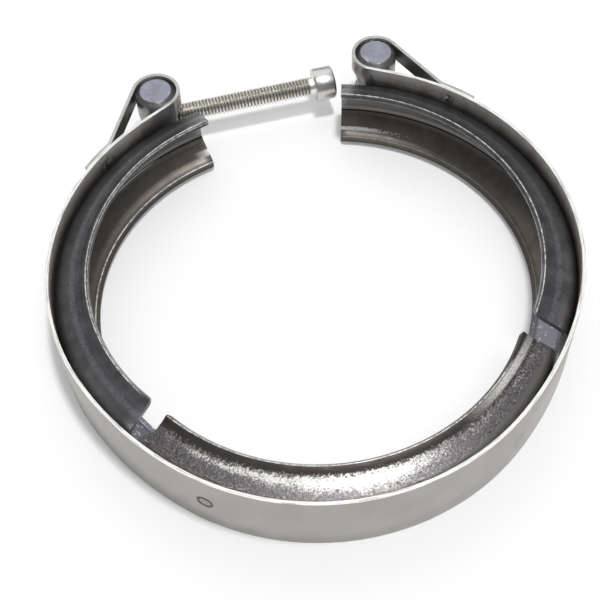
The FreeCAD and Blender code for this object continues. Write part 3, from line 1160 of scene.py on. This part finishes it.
@dataclass(frozen=True)
class CapScrew:
    """The socket head cap screw, in millimetres. Its axis starts at the head's underside.

    Attributes:
        x: X of the head's underside.
        y: Y of the head's underside.
        azimuth: Direction from the tip to the head, in degrees.
        length: Length under the head.
        radius: Radius over the thread's crests.
        pitch: Pitch of the thread.
        depth: Depth of the thread, as a share of its pitch.
        neck_length: Plain neck under the head.
        neck_radius: Radius of the neck.
        tip_chamfer: Chamfer of the tip.
        head_radius: Radius of the head.
        head_height: Height of the head.
        head_chamfer: Chamfer of the head.
        flats: Half of the socket's width across its flats.
        socket_depth: Depth of the socket.
        mouth: Radius of the socket's rounded mouth.
        drill: Radius of the drilled hole below the socket.
    """

    x: float = 16.895
    y: float = 75.7337
    azimuth: float = 1.25
    length: float = 49.963
    radius: float = 3.0
    pitch: float = 1.0
    depth: float = 0.6134
    neck_length: float = 1.5
    neck_radius: float = 2.6
    tip_chamfer: float = 0.8
    head_radius: float = 5.0
    head_height: float = 6.0
    head_chamfer: float = 0.5
    flats: float = 2.5
    socket_depth: float = 3.0
    mouth: float = 3.0
    drill: float = 1.6

    CREASE = 35.0
    AROUND = 96
    CLOSED = 0.01
    NECK_START = ((0.0, -1.6), (0.0, -0.05), (0.05, 0.0))
    FILLET = ((-0.3, 0.0), (-0.1, 0.06), (0.0, 0.25))
    LOWER_EDGE = ((0.0, -0.2), (0.05, -0.07), (0.2, 0.0))
    SHOULDER = ((-0.1, 0.0), (0.02, -0.04))
    UPPER_EDGE = ((-0.06, 0.02), (0.0, -0.12))
    MOUTH_EDGE = ((0.0, 0.15), (-0.08, 0.0))
    FLATS_START = ((-0.35, 0.0),)
    FLATS_END = ((0.1, 0.0), (0.0, -0.15))
    DRILLED = ((0.0, 0.0),)
    DRILL_POINT = ((-0.5, 0.0),)

    def head_rings(self) -> list[Ring]:
        """Rings of the neck, the head and the socket.

        Returns:
            The rings in order.
        """
        top, side = self.head_height, self.head_radius
        floor = top - self.socket_depth
        profile = (
            (self.NECK_START, -self.neck_length, self.neck_radius, False),
            (self.FILLET, 0.0, self.neck_radius, False),
            (self.LOWER_EDGE, 0.0, side, False),
            (self.SHOULDER, top - self.head_chamfer, side, False),
            (self.UPPER_EDGE, top, side - self.head_chamfer, False),
            (self.MOUTH_EDGE, top, self.mouth, False),
            (self.FLATS_START, top, self.flats, True),
            (self.FLATS_END, floor, self.flats, True),
            (self.DRILLED, floor, self.drill, False),
            (self.DRILL_POINT, floor, self.CLOSED, False),
        )
        return [Ring(along + forward, radius + outward, hexagon)
                for steps, along, radius, hexagon in profile for forward, outward in steps]

    def tip_rings(self) -> list[Ring]:
        """Rings of the tip's flat end."""
        face = self.radius - self.tip_chamfer + self.CLOSED
        return [Ring(-self.length, self.CLOSED), Ring(-self.length, face)]

    def build(self) -> bpy.types.Object:
        """Make the screw, thread and all, in place of the plain one.

        Returns:
            The screw.
        """
        material = SCREW_FINISH.material()
        threaded = self.length - self.neck_length
        nodes = ThreadNodes()
        nodes.build(threaded, self.pitch, material)
        thread = nodes.bake({"Length": threaded, "Pitch": self.pitch, "Crest Radius": self.radius,
                             "Depth": self.depth * self.pitch, "Tip Radius": self.radius - self.tip_chamfer,
                             "Neck Radius": self.neck_radius})
        thread.transform(Matrix.Translation((-self.length, 0.0, 0.0)))
        whole = bmesh.new()
        whole.from_mesh(thread)
        lathe(whole, self.head_rings(), self.AROUND)
        lathe(whole, self.tip_rings(), self.AROUND)
        place = Matrix.Translation((self.x * MM, self.y * MM, 0.0))
        whole.transform(place @ Matrix.Rotation(math.radians(self.azimuth), 4, "Z") @ Matrix.Scale(MM, 4))
        screw = solid_object("screw_with_thread", whole, material, self.CREASE)
        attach(screw, "screw")
        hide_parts("cap_screw")
        log.info("screw_with_thread: %d faces", len(screw.data.polygons))
        return screw


SCREW = CapScrew()


@dataclass(frozen=True)
class WeldMark:
    """A spot weld's ring pressed into the strap's outer face.

    Attributes:
        azimuth: Its direction from the front arc's centre, in degrees.
        size: Its outer radius in millimetres.
        height: How far its rim stands up, in millimetres.
    """

    azimuth: float
    size: float
    height: float

    FACE = LEFT_PLAN.ring + STRIP_THICKNESS / 2
    CREASE = 60.0
    AROUND = 48
    RISES = ((-0.12, 1.0), (0.4, 0.93), (1.0, 0.86), (0.35, 0.76), (-0.1, 0.66), (0.1, 0.5),
             (0.7, 0.42), (0.55, 0.3), (0.2, 0.1), (0.2, 0.01))

    def build(self, index: int, material: bpy.types.Material) -> bpy.types.Object:
        """Make the raised rings.

        Args:
            index: Number of the mark, for its name.
            material: Finish of the strap.

        Returns:
            The rings.
        """
        rings = [Ring(rise * self.height if rise > 0 else rise, share * self.size)
                 for rise, share in self.RISES]
        mesh = bmesh.new()
        lathe(mesh, rings, self.AROUND)
        turn = math.radians(self.azimuth)
        spot = Matrix.Translation((self.FACE * math.cos(turn) * MM, self.FACE * math.sin(turn) * MM, 0.0))
        mesh.transform(spot @ Matrix.Rotation(turn, 4, "Z") @ Matrix.Scale(MM, 4))
        mark = solid_object(f"weld_mark_{index}", mesh, material, self.CREASE)
        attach(mark, "strap")
        log.info("weld_mark_%d: %d faces", index, len(mark.data.polygons))
        return mark


OUTER_WELDS = (WeldMark(-128.0, size=2.4, height=0.16), WeldMark(-53.5, size=2.0, height=0.05))


@dataclass(frozen=True)
class CarriedPiece:
    """A piece that is carried over from the solids.

    Attributes:
        node: Name of the piece.
        rounding: Width of the rounding of its rims, in millimetres.
    """

    node: str
    rounding: float

    BENT = 32.0
    JOINED = 1e-6

    def build(self, material: bpy.types.Material) -> bpy.types.Object:
        """Give the piece its finish and round over its rims, where edges bend by more than BENT degrees.

        Args:
            material: Its finish.

        Returns:
            The piece.
        """
        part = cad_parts[self.node]
        part.data.materials.clear()
        part.data.materials.append(material)
        weld = part.modifiers.new("join", "WELD")
        weld.merge_threshold = self.JOINED
        bevel = part.modifiers.new("rims", "BEVEL")
        bevel.limit_method = "ANGLE"
        bevel.angle_limit = math.radians(self.BENT)
        bevel.width = self.rounding * MM
        bevel.segments = 2
        bevel.harden_normals = True
        log.info("%s: %d faces", self.node, len(part.data.polygons))
        return part


@dataclass(frozen=True)
class Band:
    """The strap and the three retainers inside it."""

    strap: CarriedPiece = CarriedPiece("outer_strap", 0.1)
    front: CarriedPiece = CarriedPiece("front_retainer", 0.15)
    arms: tuple[CarriedPiece, ...] = (
        CarriedPiece("left_retainer", 0.15), CarriedPiece("right_retainer", 0.15))

    def build(self, strap_steel: bpy.types.Material) -> None:
        """Dress the strap and the retainers.

        Args:
            strap_steel: Finish of the strap.
        """
        self.strap.build(strap_steel)
        self.front.build(FRONT_FINISH.material())
        retainer_steel = RETAINER_FINISH.material()
        for arm in self.arms:
            arm.build(retainer_steel)


@dataclass(frozen=True)
class Trunnions:
    """The two turned pins in the strap's loops."""

    pins: tuple[CarriedPiece, ...] = (
        CarriedPiece("left_trunnion", 0.12), CarriedPiece("right_trunnion", 0.12))

    def build(self) -> None:
        """Dress both pins."""
        steel = TRUNNION_FINISH.material()
        for pin in self.pins:
            pin.build(steel)


@dataclass(frozen=True)
class Lamp:
    """A square soft box that points at the clamp: its place and side in metres, and its watts."""

    name: str
    place: Point
    width: float
    power: float

    def build(self) -> None:
        """Hang the lamp."""
        light = bpy.data.lights.new(self.name, "AREA")
        light.size = self.width
        light.energy = self.power
        lamp = placed(self.name, light)
        lamp.location = self.place
        lamp.rotation_euler = (-Vector(self.place)).to_track_quat("-Z", "Y").to_euler()


@dataclass(frozen=True)
class Camera:
    """The camera at the photograph's angle. Lengths are in millimetres and the roll is in degrees."""

    place: Point = (-38.93, -180.22, 272.55)
    forward: Point = (0.1038, 0.5491, -0.8293)
    roll: float = -2.74
    lens: float = 73.66
    sensor: float = 36.0
    near: float = 10.0

    def build(self) -> None:
        """Set the camera up."""
        forward = Vector(self.forward).normalized()
        level = forward.cross(Vector((0.0, 0.0, 1.0))).normalized()
        upright = level.cross(forward)
        roll = math.radians(self.roll)
        right = level * math.cos(roll) + upright * math.sin(roll)
        up = right.cross(forward)
        data = bpy.data.cameras.new("camera")
        data.lens = self.lens
        data.sensor_width = self.sensor
        data.clip_start = self.near * MM
        camera = placed("camera", data)
        turn = Matrix((right, up, -forward)).transposed().to_4x4()
        camera.matrix_world = Matrix.Translation(Vector(self.place) * MM) @ turn
        bpy.context.scene.camera = camera


@dataclass(frozen=True)
class Studio:
    """The pale floor, the soft light and the camera.

    Attributes:
        lamps: The soft boxes.
        view: The camera.
        sky: Strength of the even pale surroundings.
        half_floor: Half of the floor's width in metres.
        pale: Colour of the floor.
        glow: How much the floor is lit up where the camera or a reflection sees it.
        matt: Roughness of the floor.
        shine: Strength of the floor's reflections.
    """

    lamps: tuple[Lamp, ...] = (
        Lamp("overhead", (0.07, -0.10, 0.99), 0.10, 5.2),
        Lamp("back", (0.0, 0.82, 0.88), 1.2, 4.0),
        Lamp("front", (0.13, -0.38, 0.92), 0.30, 1.1),
    )
    view: Camera = Camera()
    sky: float = 0.29
    half_floor: float = 3.0
    pale: Colour = (0.86, 0.86, 0.86)
    glow: float = 0.16
    matt: float = 0.9
    shine: float = 0.1

    def build(self) -> None:
        """Make the floor, the lights, the world and the camera."""
        self.floor()
        for lamp in self.lamps:
            lamp.build()
        self.world()
        self.view.build()
        log.info("studio: %d lamps", len(self.lamps))

    def floor(self) -> None:
        """Make a plain white floor that keeps the shadow."""
        mesh = bpy.data.meshes.new("floor")
        corners = [(east * self.half_floor, north * self.half_floor, FLOOR_LEVEL)
                   for east, north in ((-1, -1), (1, -1), (1, 1), (-1, 1))]
        mesh.from_pydata(corners, [], [(0, 1, 2, 3)])
        floor = placed("floor", mesh)
        tree = FinishTree("floor_white")
        path = tree.nodes.new("ShaderNodeLightPath").outputs
        seen = tree.sum(Sum.MOST, path["Is Camera Ray"], path["Is Glossy Ray"])
        tree.shade(Base_Color=self.pale, Roughness=self.matt, Specular_IOR_Level=self.shine,
                   Emission_Color=WHITE, Emission_Strength=tree.times(seen, self.glow))
        mesh.materials.append(tree.material)

    def world(self) -> None:
        """Make even pale surroundings."""
        world = bpy.data.worlds.new("studio")
        world.use_nodes = True
        background = world.node_tree.nodes["Background"]
        background.inputs["Color"].default_value = rgba(WHITE)
        background.inputs["Strength"].default_value = self.sky
        bpy.context.scene.world = world


def main() -> None:
    """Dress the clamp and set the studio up."""
    logging.basicConfig(level=logging.INFO, format="%(name)s: %(message)s")
    strap_steel = STRAP_FINISH.material()
    Band().build(strap_steel)
    Trunnions().build()
    SCREW.build()
    for index, mark in enumerate(OUTER_WELDS):
        mark.build(index, strap_steel)
    Studio().build()
    bpy.context.scene.view_settings.view_transform = "Standard"


if __name__ == "__main__":
    main()
